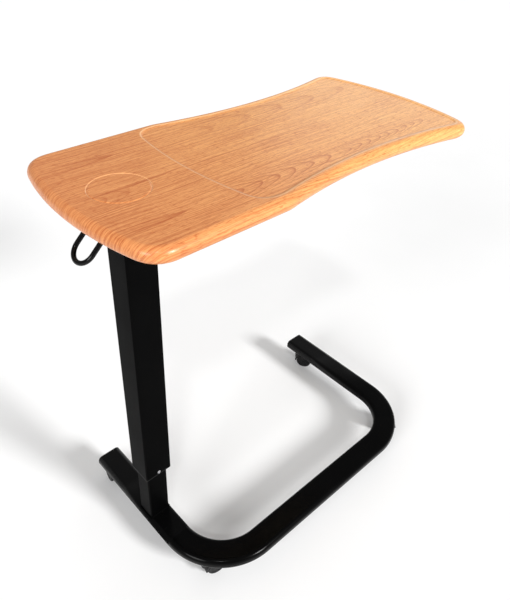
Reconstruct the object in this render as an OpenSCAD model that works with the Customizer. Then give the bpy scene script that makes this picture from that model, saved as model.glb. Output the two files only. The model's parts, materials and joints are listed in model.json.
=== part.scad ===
// Overbed table: waisted wooden tabletop on a telescoping column that stands on one leg of a
// C-shaped tube base with four swivel casters. A lockable gas spring inside the column holds the
// height, and a wire loop under the left end of the tabletop releases it.
// Millimetres, +Z up, +X along the tabletop away from the column, +Y towards the open back.
// The modules draw around the column axis on the floor, and placed() moves them to the origin
// at the centre of the whole object's footprint.

/* [Tabletop] */
// Length of the tabletop from tip to tip
top_len = 762; // [700:1:820]
// How far the left tip reaches past the column axis
top_left = 103; // [90:1:130]
// Thickness of the tabletop, which has a fully rounded edge
top_thick = 27; // [20:1:32]
// Height of the top surface above the floor at rest
top_z = 837; // [820:1:850]
// Half width of the straight part at the left
top_half_w = 178.5; // [165:0.5:185]
// Radius of the bowed left end
left_bow_r = 565; // [450:5:800]
// Radius of the bowed right end
right_bow_r = 590; // [450:5:800]
// Half width at the waist
waist_half_w = 156.5; // [150:0.5:162]
// Distance of the waist from the column axis
waist_x = 373; // [360:1:390]
// Radius of the waist's long curve
waist_r = 980; // [900:10:1100]
// Length that each left corner blends over
left_blend = 40; // [30:1:50]
// Length that each right corner blends over
right_blend = 36; // [30:1:45]
// Width of the raised rim around the tray area
rim_w = 16; // [13:0.5:20]
// Depth of the tray area below the rim
tray_depth = 2; // [1:0.25:2.5]
// Distance of the tray's left edge from the column axis, on the centre line
tray_x = 102; // [90:1:120]
// Radius of the tray's bowed left edge
tray_bow_r = 715; // [500:5:900]
// Distance of the cup ring's centre to the left of the column axis
ring_x = 12; // [0:1:25]
// Radius of the cup ring groove
ring_r = 46.5; // [40:0.5:50]

/* [Top support] */
// Length of the steel channel under the tabletop
channel_len = 490; // [400:5:520]
// How far the channel reaches past the column axis on the left
channel_left = 60; // [56:1:70]
// Depth of the channel's flanges, web included
channel_h = 30; // [26:1:34]
// Thickness of the channel's sheet
channel_wall = 2.5; // [2:0.5:3]
// Thickness of the straps that carry the tabletop
strap_t = 4; // [3:0.5:5]
// Width of each strap
strap_w = 35; // [30:1:45]
// Length of each strap
strap_len = 270; // [240:5:290]

/* [Column] */
// Width of the upper tube along X
upper_w = 58; // [54:1:60]
// Depth of the upper tube along Y
upper_d = 53; // [50:1:55]
// Height of the upper tube's lower end, glide lip included, at rest
upper_bottom = 205; // [200:1:240]
// Width of the lower tube along X
lower_w = 45; // [42:1:45]
// Depth of the lower tube along Y
lower_d = 39; // [36:1:40]
// Height of the lower tube's upper end
lower_top = 628; // [600:2:628]
// Wall of both tubes
tube_wall = 1.6; // [1.5:0.1:2]
// Corner radius of both tubes
tube_r = 3; // [2.5:0.5:3.5]
// Height of both plastic glides
glide_h = 40; // [30:1:50]

/* [Gas spring] */
// Outer radius of the cylinder
spring_r = 11; // [10:0.5:12]
// Height of the cylinder's upper end
spring_top = 590; // [580:1:600]
// Radius of the piston rod
rod_r = 5; // [4.5:0.5:5.5]
// Height of the rod's upper end at rest
rod_top = 778; // [774:1:780]
// Height of the piston's lower face at rest
piston_z = 285; // [250:1:300]
// Radius of the release pin in the rod's end
pin_r = 2.5; // [2:0.5:2.5]

/* [Release lever] */
// Distance of the lever's pivot to the left of the column axis
pivot_x = 46; // [44:1:48]
// Height of the lever's pivot at rest
pivot_z = 791; // [788:1:793]
// Radius of the wire of the loop
wire_r = 4; // [2.5:0.5:4]
// Half distance between the two wires of the loop
loop_half_w = 21.8; // [19:0.1:22]
// Distance from the pivot to the far end of the loop
loop_len = 67; // [60:0.1:75]
// Slope of the loop below the horizontal
loop_slope = 45; // [35:1:50]

/* [Base] */
// Distance between the centre lines of the two legs
leg_gap = 618; // [600:1:640]
// Distance of the spine's centre line in front of the column axis
spine_y = 201; // [190:1:210]
// Distance of the legs' ends behind the column axis
leg_end = 186; // [175:1:190]
// Bend radius on the tube's centre line
bend_r = 120; // [110:1:130]
// Width of the base tube
base_w = 54; // [52:1:56]
// Height of the base tube
base_h = 26; // [25:1:27]
// Corner radius of the base tube
base_r = 10.5; // [9.5:0.5:11]
// Height of the base tube's centre line
base_z = 60; // [58:1:62]

/* [Casters] */
// Radius of each caster wheel
wheel_r = 20; // [19:0.5:20]
// Distance of each wheel's axle from its swivel axis
trail = 14; // [13:0.5:15]
// Radius of each caster's stem
stem_r = 4; // [3.5:0.5:4]
// Radius of the round housing that turns on the stem
housing_r = 14.5; // [12:0.5:15]
// Distance of the leg casters in front of the legs' ends
caster_inset = 30; // [24:1:40]
// Angle around each bend, from its leg, at which the front casters stand
caster_bend_a = 35; // [25:1:50]
// Direction in which each caster trails, in degrees from +X
caster_yaw = [348, 80, 300, 315]; // [0:1:360]

/* [Hidden] */
$fn = 64;
eps = 0.01;

wood = [0.88, 0.62, 0.42];
black = [0.06, 0.06, 0.065];
dark_plastic = [0.10, 0.10, 0.105];
steel = [0.72, 0.72, 0.74];
dark_steel = [0.12, 0.12, 0.125];

run_gap = 0.05;                             // radial clearance of every running fit
edge_r = top_thick / 2;
top_mid_z = top_z - edge_r;
top_bottom = top_z - top_thick;
right_tip = top_len - top_left;
strap_bottom = top_bottom - strap_t;
channel_bottom = strap_bottom - channel_h;
column_top = strap_bottom - channel_wall;
lip_t = 2;
tube_bottom = upper_bottom + lip_t;
upper_in_w = upper_w - 2 * tube_wall;
upper_in_d = upper_d - 2 * tube_wall;
lower_in_w = lower_w - 2 * tube_wall;
lower_in_d = lower_d - 2 * tube_wall;
inner_tube_r = tube_r - tube_wall;
screw_r = 2.25;
glide_screw_r = 2;
glide_screw_z = upper_bottom + 7;
seat_t = 5;
base_wall = 1.6;
base_top = base_z + base_h / 2;
base_bottom = base_z - base_h / 2;
bend_y = bend_r - spine_y;
spine_len = leg_gap - 2 * bend_r;
cap_t = 3;
leg_len = leg_end - cap_t - bend_y;
spring_wall = 1.5;
boss_top = base_top + seat_t + 26;
bolt_r = 4;
bolt_top = base_top + seat_t + 20;
guide_h = 15;
piston_h = 12;
bracket_z = 756;
bracket_t = 4;
nut_h = 6;
nut_r = 9.24;
rod_bore_z = 745;
barrel_r = 6;
pivot_r = 4;
tongue_t = 4;
tongue_w = 16;
tongue_end = 8;
slot_w = 20;
slot_z = 778;
strap_x = [-35, 190, 405];
screw_y = [-115, -60, 60, 115];
socket_r = 6;
flange_r = 9;
flange_t = 1.5;
socket_top = base_top - base_wall - 2;
hood_top = base_bottom - flange_t - 0.5;
hood_r = wheel_r + 5;
hood_clear_r = wheel_r + 1;
hood_half_w = 18;
web_half_w = 6.2;
axle_r = 2.5;
front_in = bend_r * (1 - cos(caster_bend_a));
front_y = bend_y - bend_r * sin(caster_bend_a);
rear_y = leg_end - caster_inset;
caster_pos = [[front_in, front_y], [0, rear_y], [leg_gap, rear_y], [leg_gap - front_in, front_y]];
left_yaw = caster_yaw[1];
back_reach = rear_y + (trail + hood_r) * sin(left_yaw) + hood_half_w * cos(left_yaw);
origin_x = (right_tip - top_left) / 2;
origin_y = (back_reach - spine_y - base_w / 2) / 2;

// ---- Tabletop outline, drawn d inside the real edge ----

// Point at t on the curve that leaves a and reaches c, and heads for b at both ends
function blend(a, b, c, t) = (1 - t) * (1 - t) * a + 2 * t * (1 - t) * b + t * t * c;
// Point on a circle
function on_circle(c, r, a) = c + r * [cos(a), sin(a)];
// Angle above the centre line at which an end bow of radius r is h high
function bow_angle(r, h) = asin(h / r);
// Corner where the end bow's tangent, leaving the bow at height h, meets height v
function bow_corner(tip, side, r, h, v) =
    let (a = bow_angle(r, h))
    [tip - side * (r - r * cos(a)) - side * (v - h) * tan(a), v];
// Upper half of the outline, from the left tip to the right tip
function half_outline(d) =
    let (
        side_y = top_half_w - d,
        waist_c = [waist_x, waist_half_w + waist_r],
        kink_a = -90 - acos((waist_c.y - side_y) / (waist_r + d)),
        kink = on_circle(waist_c, waist_r + d, kink_a),
        left_r = left_bow_r - d,
        left_c = [left_r + d - top_left, 0],
        left_h = side_y - (left_blend - 0.7 * d),
        left_a = bow_angle(left_r, left_h),
        left_v = bow_corner(d - top_left, -1, left_r, left_h, side_y),
        right_r = right_bow_r - d,
        right_c = [right_tip - right_bow_r, 0],
        right_top = 190 - d,
        right_h = right_top - (right_blend - 0.7 * d),
        right_a = bow_angle(right_r, right_h),
        right_v = bow_corner(right_tip - d, 1, right_r, right_h, right_top),
        flare_a = -90 + asin((right_v.x - right_blend + 0.6 * d - waist_x) / (waist_r + d)),
        flare = on_circle(waist_c, waist_r + d, flare_a)
    )
    concat(
        [for (i = [0:8]) on_circle(left_c, left_r, 180 - left_a * i / 8)],
        [for (i = [1:7]) blend(on_circle(left_c, left_r, 180 - left_a), left_v,
                               left_v + [left_blend - 0.7 * d, 0], i / 7)],
        [for (i = [0:4]) blend(kink - [8, 0], kink, on_circle(waist_c, waist_r + d, kink_a + 0.5), i / 4)],
        [for (i = [1:14]) on_circle(waist_c, waist_r + d,
                                    kink_a + 0.5 + (flare_a - kink_a - 0.5) * i / 14)],
        [for (i = [1:7]) blend(flare, right_v, on_circle(right_c, right_r, right_a), i / 7)],
        [for (i = [1:8]) on_circle(right_c, right_r, right_a * (1 - i / 8))]
    );
// Whole outline: the upper half and its mirror image, without the shared tips
function outline(d) =
    let (half = half_outline(d), n = len(half))
    concat(half, [for (i = [n - 2:-1:1]) [half[i].x, -half[i].y]]);

// ---- Shared shapes ----

module placed() translate([-origin_x, -origin_y, 0]) children();

module rounded_rect(w, h, r) {
    square([w - 2 * r, h], center = true);
    square([w, h - 2 * r], center = true);
    for (sx = [-1, 1], sy = [-1, 1])
        translate([sx * (w / 2 - r), sy * (h / 2 - r)]) circle(r);
}

module bar(w, d, r, z0, z1)
    translate([0, 0, z0]) linear_extrude(z1 - z0) rounded_rect(w, d, r);

module rod_z(r, z0, z1) translate([0, 0, z0]) cylinder(r = r, h = z1 - z0);

module rod_y(r, y0, y1) translate([0, y0, 0]) rotate([-90, 0, 0]) cylinder(r = r, h = y1 - y0);

module block(x0, x1, y0, y1, z0, z1)
    translate([x0, y0, z0]) cube([x1 - x0, y1 - y0, z1 - z0]);

module screw_grid() for (x = strap_x, y = screw_y) translate([x, y, 0]) children();

// ---- Tabletop and its support ----

module tabletop_blank() {
    steps = 4;
    for (k = [0:steps - 1]) {
        half_h = edge_r * sin(90 * (k + 1) / steps);
        translate([0, 0, top_mid_z - half_h])
            linear_extrude(2 * half_h) polygon(outline(edge_r * (1 - cos(90 * k / steps))));
    }
}

module tabletop() color(wood) placed() difference() {
    tabletop_blank();
    translate([0, 0, top_z - tray_depth]) linear_extrude(tray_depth + 1) intersection() {
        polygon(outline(rim_w));
        translate([tray_x + tray_bow_r, 0]) circle(tray_bow_r, $fn = 256);
    }
    translate([-ring_x, 0, top_z]) rotate_extrude($fn = 96) translate([ring_r, 0]) circle(1.2, $fn = 24);
    screw_grid() rod_z(screw_r, top_bottom - 1, top_bottom + 16);
}

module strap(i) color(black) placed() difference() {
    translate([strap_x[i], 0, 0]) bar(strap_w, strap_len, 6, strap_bottom, top_bottom);
    screw_grid() rod_z(screw_r, strap_bottom - 1, top_bottom + 1);
}

module tabletop_screws() color(steel) placed() screw_grid() {
    rod_z(4.2, strap_bottom - 2.4, strap_bottom);
    rod_z(screw_r, strap_bottom - eps, top_bottom + 16);
}

module support_channel() color(black) placed() difference() {
    half = upper_d / 2;
    x1 = channel_len - channel_left;
    block(-channel_left, x1, -half - channel_wall, half + channel_wall, channel_bottom, strap_bottom);
    block(-channel_left - 1, x1 + 1, -half, half, channel_bottom - 1, column_top);
    translate([-pivot_x, 0, pivot_z]) rod_y(pivot_r, -half - 5, half + 5);
}

// ---- Column ----

module upper_column() color(black) placed() difference() {
    bar(upper_w, upper_d, tube_r, tube_bottom, column_top);
    bar(upper_in_w, upper_in_d, inner_tube_r, tube_bottom - 1, column_top + 1);
    block(-upper_w, -upper_w / 4, -slot_w / 2, slot_w / 2, slot_z, column_top + 1);
    translate([0, 0, glide_screw_z]) rod_y(glide_screw_r, -upper_d, upper_d);
}

module lower_glide() color(dark_plastic) placed() difference() {
    union() {
        bar(upper_w, upper_d, tube_r, upper_bottom, tube_bottom);
        bar(upper_in_w, upper_in_d, inner_tube_r, tube_bottom - eps, tube_bottom + glide_h);
    }
    bar(lower_w + 2 * run_gap, lower_d + 2 * run_gap, tube_r, upper_bottom - 1, tube_bottom + glide_h + 1);
    translate([0, 0, glide_screw_z]) rod_y(glide_screw_r, -upper_d, upper_d);
}

module glide_screws() color(steel) placed() for (side = [0, 180]) rotate([0, 0, side])
    translate([0, 0, glide_screw_z]) {
        rod_y(3.5, -upper_d / 2 - 1.6, -upper_d / 2);
        rod_y(glide_screw_r, -upper_d / 2 - eps, -lower_d / 2 - 1);
    }

module lower_column() color(black) placed() difference() {
    bar(lower_w, lower_d, tube_r, base_z, lower_top);
    bar(lower_in_w, lower_in_d, inner_tube_r, base_z - 1, lower_top + 1);
    base_leg(0);
}

module upper_glide() color(dark_plastic) placed() difference() {
    bar(upper_in_w - 2 * run_gap, upper_in_d - 2 * run_gap, inner_tube_r, lower_top - glide_h, lower_top + 4);
    bar(lower_w, lower_d, tube_r, lower_top - glide_h - 1, lower_top);
    rod_z(rod_r + 2, lower_top - 1, lower_top + 5);
}

module weld_bead() color(black) placed() difference() {
    union() {
        bar(lower_w + 6, lower_d + 6, tube_r + 3, base_z, base_top + 1.5);
        bar(lower_w + 3, lower_d + 3, tube_r + 1.5, base_z, base_top + 3);
    }
    bar(lower_w, lower_d, tube_r, base_z - 1, base_top + 4);
    base_leg(0);
}

// ---- Gas spring ----

module spring_seat() color(black) placed() difference() {
    bar(lower_in_w, lower_in_d, inner_tube_r, base_top, base_top + seat_t);
    rod_z(bolt_r, base_top - 1, base_top + seat_t + 1);
}

module spring_bolt() color(steel) placed() {
    rod_z(bolt_r, base_bottom, bolt_top);
    translate([0, 0, base_bottom - 5.5]) cylinder(r = 7.5, h = 5.5, $fn = 6);
}

module spring_cylinder() color(dark_plastic) placed() difference() {
    union() {
        rod_z(spring_r - 2, base_top + seat_t, boss_top);
        rod_z(spring_r, boss_top - eps, spring_top);
    }
    rod_z(spring_r - spring_wall, boss_top + 6, spring_top + 1);
    rod_z(bolt_r, base_top, bolt_top);
}

module rod_guide() color(dark_plastic) placed() difference() {
    rod_z(spring_r - spring_wall, spring_top - guide_h, spring_top);
    rod_z(rod_r + run_gap, spring_top - guide_h - 1, spring_top + 1);
}

module spring_piston() color(dark_plastic) placed() difference() {
    rod_z(spring_r - spring_wall - run_gap, piston_z, piston_z + piston_h);
    rod_z(rod_r, piston_z - 1, piston_z + piston_h + 1);
}

module spring_rod() color(steel) placed() difference() {
    rod_z(rod_r, piston_z, rod_top);
    rod_z(pin_r + run_gap, rod_bore_z, rod_top + 1);
}

module rod_bracket() color(black) placed() difference() {
    bar(upper_in_w, upper_in_d, inner_tube_r, bracket_z, bracket_z + bracket_t);
    rod_z(rod_r, bracket_z - 1, bracket_z + bracket_t + 1);
}

module rod_nuts() color(steel) placed() difference() {
    for (z = [bracket_z - nut_h, bracket_z + bracket_t])
        translate([0, 0, z]) cylinder(r = nut_r, h = nut_h, $fn = 6);
    rod_z(rod_r, bracket_z - nut_h - 1, bracket_z + bracket_t + nut_h + 1);
}

module release_pin() color(steel) placed() {
    pin_top = pivot_z - tongue_t / 2 - 0.1;
    pin_low = rod_bore_z + 6;
    rod_z(pin_r, pin_low, pin_top - pin_r);
    translate([0, 0, pin_top - pin_r]) sphere(pin_r);
}

// ---- Release lever ----

module at_pivot() placed() translate([-pivot_x, 0, pivot_z]) children();

module lever_barrel() color(black) at_pivot() difference() {
    rod_y(barrel_r, -upper_d / 2 + 0.5, upper_d / 2 - 0.5);
    rod_y(pivot_r + run_gap, -upper_d, upper_d);
}

module lever_tongue() color(black) at_pivot() difference() {
    block(0, pivot_x + tongue_end, -tongue_w / 2, tongue_w / 2, -tongue_t / 2, tongue_t / 2);
    rod_y(barrel_r, -tongue_w, tongue_w);
}

module release_loop() color(black) at_pivot() difference() {
    rotate([0, 180 - loop_slope, 0]) {
        for (side = [-1, 1]) translate([0, side * loop_half_w, 0]) rotate([0, 90, 0])
            cylinder(r = wire_r, h = loop_len - loop_half_w);
        translate([loop_len - loop_half_w, 0, 0]) rotate([0, 0, -90])
            rotate_extrude(angle = 180) translate([loop_half_w, 0]) circle(wire_r, $fn = 32);
    }
    rod_y(barrel_r, -upper_d, upper_d);
}

module pivot_pin() color(steel) at_pivot() rod_y(pivot_r, -upper_d / 2 - 5, upper_d / 2 + 5);

module pivot_clips() color(steel) at_pivot() for (side = [0, 180]) rotate([0, 0, side]) {
    y0 = upper_d / 2 + channel_wall;
    difference() {
        rod_y(pivot_r + 3, y0, y0 + 1);
        rod_y(pivot_r, y0 - 1, y0 + 2);
    }
}

// ---- Base ----

module base_section(inset)
    rounded_rect(base_w - 2 * inset, base_h - 2 * inset, base_r - inset);

module base_leg(inset) translate([0, bend_y, base_z]) rotate([-90, 0, 0])
    linear_extrude(leg_len + inset) base_section(inset);

module base_bend(inset) translate([0, 0, base_z])
    rotate_extrude(angle = 90, $fn = 96) translate([bend_r, 0]) base_section(inset);

module base_run(inset) {
    base_leg(inset);
    translate([bend_r, bend_y, 0]) rotate([0, 0, 180]) base_bend(inset);
    translate([bend_r, -spine_y, base_z]) rotate([90, 0, 90]) linear_extrude(spine_len) base_section(inset);
    translate([leg_gap - bend_r, bend_y, 0]) rotate([0, 0, 270]) base_bend(inset);
    translate([leg_gap, 0, 0]) base_leg(inset);
}

module base_tube() color(black) placed() difference() {
    base_run(0);
    base_run(base_wall);
    rod_z(bolt_r, base_bottom - 1, base_top + 1);
    for (p = caster_pos) translate(p) rod_z(socket_r, base_bottom - 1, base_z);
}

module end_cap() color(dark_plastic) {
    translate([0, leg_end - cap_t, base_z]) rotate([-90, 0, 0]) linear_extrude(cap_t) base_section(0);
    translate([0, leg_end - cap_t - 14, base_z]) rotate([-90, 0, 0]) linear_extrude(14 + eps)
        base_section(base_wall);
}

module end_cap_left() placed() end_cap();

module end_cap_right() placed() translate([leg_gap, 0, 0]) end_cap();

// ---- Casters, each drawn around its swivel axis with the wheels towards +X ----

module at_stem(i) placed() translate(caster_pos[i - 1]) rotate([0, 0, caster_yaw[i - 1]]) children();

module at_axle(i) at_stem(i) translate([trail, 0, wheel_r]) children();

module caster_socket(i) color(dark_plastic) at_stem(i) difference() {
    union() {
        rod_z(flange_r, base_bottom - flange_t, base_bottom);
        rod_z(socket_r, base_bottom - eps, socket_top);
    }
    rod_z(stem_r, base_bottom - flange_t - 1, socket_top + 1);
}

module caster_stem(i) color(steel) at_stem(i) rod_z(stem_r, wheel_r + 4, socket_top - 1);

module caster_hood(i) color(dark_plastic) at_stem(i) difference() {
    union() {
        translate([trail, 0, wheel_r]) intersection() {
            rod_y(hood_r, -hood_half_w, hood_half_w);
            block(-2 * hood_r, 2 * hood_r, -hood_half_w, hood_half_w, 0, hood_top - wheel_r);
        }
        translate([trail, 0, wheel_r]) rod_y(wheel_r - 4, -web_half_w, web_half_w);
        rod_z(housing_r, wheel_r + 2, hood_top);
    }
    for (side = [-1, 1]) translate([trail, side * (web_half_w + 10), wheel_r])
        rod_y(hood_clear_r, -10, 10);
    translate([trail, 0, wheel_r]) rod_y(axle_r, -hood_half_w, hood_half_w);
    rod_z(stem_r + run_gap, wheel_r + 3, hood_top + 1);
}

module caster_axle(i) color(dark_steel) at_axle(i) rod_y(axle_r, -hood_half_w + 1, hood_half_w - 1);

module caster_wheel(i, side) color(black) at_axle(i) rotate([-90 * side, 0, 0]) rotate_extrude($fn = 72)
    polygon([
        [axle_r + run_gap, web_half_w + 0.5], [wheel_r - 1.5, web_half_w + 0.5],
        [wheel_r, web_half_w + 2], [wheel_r, hood_half_w - 2], [wheel_r - 1.5, hood_half_w - 0.5],
        [wheel_r - 5, hood_half_w - 0.5], [wheel_r - 6, hood_half_w - 1.5],
        [7, hood_half_w - 1.5], [6, hood_half_w - 0.5], [axle_r + run_gap, hood_half_w - 0.5]
    ]);

// ---- Nodes ----

tabletop();
strap(0);  // strap_left
strap(1);  // strap_middle
strap(2);  // strap_right
support_channel();
tabletop_screws();
upper_column();
lower_glide();
glide_screws();
lower_column();
upper_glide();
weld_bead();
spring_seat();
spring_bolt();
spring_cylinder();
rod_guide();
spring_piston();
spring_rod();
rod_bracket();
rod_nuts();
release_pin();
lever_barrel();
lever_tongue();
release_loop();
pivot_pin();
pivot_clips();
base_tube();
end_cap_left();
end_cap_right();
caster_socket(1);  // caster_socket_1
caster_socket(2);  // caster_socket_2
caster_socket(3);  // caster_socket_3
caster_socket(4);  // caster_socket_4
caster_stem(1);  // caster_stem_1
caster_stem(2);  // caster_stem_2
caster_stem(3);  // caster_stem_3
caster_stem(4);  // caster_stem_4
caster_hood(1);  // caster_hood_1
caster_hood(2);  // caster_hood_2
caster_hood(3);  // caster_hood_3
caster_hood(4);  // caster_hood_4
caster_axle(1);  // caster_axle_1
caster_axle(2);  // caster_axle_2
caster_axle(3);  // caster_axle_3
caster_axle(4);  // caster_axle_4
caster_wheel(1, 1);  // caster_wheel_1a
caster_wheel(1, -1);  // caster_wheel_1b
caster_wheel(2, 1);  // caster_wheel_2a
caster_wheel(2, -1);  // caster_wheel_2b
caster_wheel(3, 1);  // caster_wheel_3a
caster_wheel(3, -1);  // caster_wheel_3b
caster_wheel(4, 1);  // caster_wheel_4a
caster_wheel(4, -1);  // caster_wheel_4b
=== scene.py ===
"""Looks of the overbed table: wood-foil tray top, black telescoping column, tube base and casters.

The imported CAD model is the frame. Everything is in metres in its frame: +Z up, +X along the
tabletop away from the column, +Y towards the open back of the base.
"""
import json
import math

import bmesh
import bpy
from mathutils import Matrix, Vector
from mathutils.geometry import delaunay_2d_cdt


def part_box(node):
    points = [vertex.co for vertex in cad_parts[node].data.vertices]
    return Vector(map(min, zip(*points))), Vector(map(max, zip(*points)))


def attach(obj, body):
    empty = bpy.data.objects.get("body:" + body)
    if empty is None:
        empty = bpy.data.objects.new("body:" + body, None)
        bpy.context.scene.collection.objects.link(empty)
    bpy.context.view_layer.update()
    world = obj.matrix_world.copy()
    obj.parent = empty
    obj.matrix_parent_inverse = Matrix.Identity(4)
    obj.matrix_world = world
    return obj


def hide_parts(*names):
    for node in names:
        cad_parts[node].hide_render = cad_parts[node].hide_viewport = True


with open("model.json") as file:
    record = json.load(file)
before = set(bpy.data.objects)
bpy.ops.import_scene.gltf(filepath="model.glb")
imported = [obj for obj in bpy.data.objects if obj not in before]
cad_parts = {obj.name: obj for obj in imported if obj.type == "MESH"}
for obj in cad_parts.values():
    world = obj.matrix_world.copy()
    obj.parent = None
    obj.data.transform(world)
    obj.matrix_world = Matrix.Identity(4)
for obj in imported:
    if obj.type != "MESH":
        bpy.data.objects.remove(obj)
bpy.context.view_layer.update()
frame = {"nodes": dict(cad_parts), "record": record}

# ---- Places taken from the frame ----

top_low, top_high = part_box("tabletop")
tube_low, tube_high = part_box("upper_column")
column = (tube_low + tube_high) / 2
edge_r = (top_high.z - top_low.z) / 2
top_z = top_high.z
mid_z = top_z - edge_r
left_tip = top_low.x - column.x
right_tip = top_high.x - column.x

# ---- The tabletop's outline, measured from the column axis ----

HALF_W = 0.1785                 # half width of the straight part at the left
LEFT_BOW_R, RIGHT_BOW_R = 0.565, 0.590
LEFT_BLEND, RIGHT_BLEND = 0.040, 0.036
WAIST_HALF_W, WAIST_X, WAIST_R = 0.1565, 0.373, 0.980
RIGHT_CORNER_W = 0.190          # half width where the right end and the waist would meet
KINK_BLEND = 0.008              # length of the soft corner before the waist
BLEND_SHRINK = 0.7              # how much a corner's blend shortens for each unit of inset
FLARE_SHRINK = 0.6              # the same for the end of the waist's arc
LEAVE_ANGLE = math.radians(0.5)     # how far round the waist's arc the soft corner ends
KINK_STEPS, WAIST_STEPS, CORNER_STEPS, END_STEPS, SIDE_STEPS = 8, 90, 26, 36, 24

CREST_IN = 0.0122               # inset at which the rounded edge reaches the top
FLAT_STEP = 0.0004              # narrow flat ring that keeps the shading of the flats clean
NEAR = 0.0005                   # points closer than this are one point
TRAY_IN = 0.0139                # inset of the upper edge of the tray's side walls
TRAY_COVE, SIDE_COVE = 0.0064, 0.0105   # width of the tray's sloping wall at the ends and the sides
TRAY_DEPTH = 0.0018
TRAY_X, TRAY_BOW_R = 0.102, 0.715
TRAY_CORNER_Y, TRAY_CORNER_END = 0.128, 0.158
TRAY_END_STEPS, TRAY_CORNER_STEPS = 40, 24
RING_X, RING_R = -0.012, 0.0465
RING_W, RING_DEPTH = 0.0042, 0.0009
RING_PAINTED_LIGHT = 0.55                # strength of the painted highlight on the ring's outer slope and painted shade on its inner slope, as a share of the tray wall's


def on_circle(centre, radius, angle):
    """Point of a circle at an angle in radians."""
    return Vector((centre[0] + radius * math.cos(angle), centre[1] + radius * math.sin(angle)))


def bend(a, b, c, count):
    """Points after a up to c on a curve that leaves a and reaches c heading for b."""
    steps = [i / count for i in range(1, count + 1)]
    return [(1 - t) ** 2 * a + 2 * t * (1 - t) * b + t * t * c for t in steps]


def arc(centre, radius, start, end, count):
    """Points after the start angle up to the end angle of a circle."""
    return [on_circle(centre, radius, start + (end - start) * i / count) for i in range(1, count + 1)]


def line(a, b, count):
    """Points after a up to b on a straight line."""
    return [a.lerp(b, i / count) for i in range(1, count + 1)]


def side_points(inset):
    """Curves of one long side, inset inwards: the waist's centre, its start, and the right corner."""
    waist = (WAIST_X, WAIST_HALF_W + WAIST_R)
    radius = WAIST_R + inset
    kink_angle = -math.pi / 2 - math.acos((waist[1] - (HALF_W - inset)) / radius)
    top = RIGHT_CORNER_W - inset
    height = top - (RIGHT_BLEND - BLEND_SHRINK * inset)
    bow_r = RIGHT_BOW_R - inset
    bow_angle = math.asin(height / bow_r)
    corner = Vector((right_tip - inset - bow_r * (1 - math.cos(bow_angle))
                     - (top - height) * math.tan(bow_angle), top))
    flare_x = corner.x - RIGHT_BLEND + FLARE_SHRINK * inset
    flare_angle = -math.pi / 2 + math.asin((flare_x - WAIST_X) / radius)
    return waist, radius, kink_angle, flare_angle, corner, bow_r, bow_angle


def right_side(inset):
    """Outline from the soft corner before the waist to the right tip, inset inwards."""
    waist, radius, kink_angle, flare_angle, corner, bow_r, bow_angle = side_points(inset)
    kink = on_circle(waist, radius, kink_angle)
    start = kink - Vector((KINK_BLEND, 0))
    leave = kink_angle + LEAVE_ANGLE
    bow = (right_tip - RIGHT_BOW_R, 0)
    points = [start] + bend(start, kink, on_circle(waist, radius, leave), KINK_STEPS)
    points += arc(waist, radius, leave, flare_angle, WAIST_STEPS)
    points += bend(points[-1], corner, on_circle(bow, bow_r, bow_angle), CORNER_STEPS)
    return points + arc(bow, bow_r, bow_angle, 0, END_STEPS)


def left_side(inset):
    """Outline from the left tip to the soft corner before the waist, inset inwards."""
    side = HALF_W - inset
    blend = LEFT_BLEND - BLEND_SHRINK * inset
    bow_r = LEFT_BOW_R - inset
    height = side - blend
    bow_angle = math.asin(height / bow_r)
    bow = (left_tip + LEFT_BOW_R, 0)
    corner = Vector((left_tip + inset + bow_r * (1 - math.cos(bow_angle))
                     + blend * math.tan(bow_angle), side))
    points = [on_circle(bow, bow_r, math.pi)]
    points += arc(bow, bow_r, math.pi, math.pi - bow_angle, END_STEPS)
    points += bend(points[-1], corner, corner + Vector((blend, 0)), CORNER_STEPS)
    return points + line(points[-1], right_side(inset)[0], SIDE_STEPS)[:-1]


def mirrored(half):
    """Closed outline made of its upper half and the half's mirror image."""
    return half + [Vector((p.x, -p.y)) for p in reversed(half[1:-1])]


def outline(inset):
    """The tabletop's whole outline, inset inwards, from the left tip clockwise seen from above."""
    return mirrored(left_side(inset) + right_side(inset))


def tray_outline():
    """Upper edge of the tray's wall: a bowed left edge, rounded corners and the inset sides."""
    bow = (TRAY_X + TRAY_BOW_R, 0)
    angle = math.asin(TRAY_CORNER_Y / TRAY_BOW_R)
    side = right_side(TRAY_IN)
    end = Vector((max(TRAY_CORNER_END, side[0].x), side[0].y))
    points = [on_circle(bow, TRAY_BOW_R, math.pi)]
    points += arc(bow, TRAY_BOW_R, math.pi, math.pi - angle, TRAY_END_STEPS)
    start = points[-1]
    rise = end.y - start.y
    corner = Vector((start.x + rise * math.tan(angle), end.y))
    points += bend(start, corner, end, TRAY_CORNER_STEPS)
    return mirrored(points + [p for p in side if p.x > end.x + NEAR])


def shifted(points, at_ends, at_sides):
    """A closed line moved inwards by one distance where it runs along Y and another along X."""
    moved = []
    for i, p in enumerate(points):
        along = (points[(i + 1) % len(points)] - points[i - 1]).normalized()
        distance = at_ends + (at_sides - at_ends) * along.x ** 2
        moved.append(p + Vector((along.y, -along.x)) * distance)
    return moved


# ---- Mesh building ----

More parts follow.
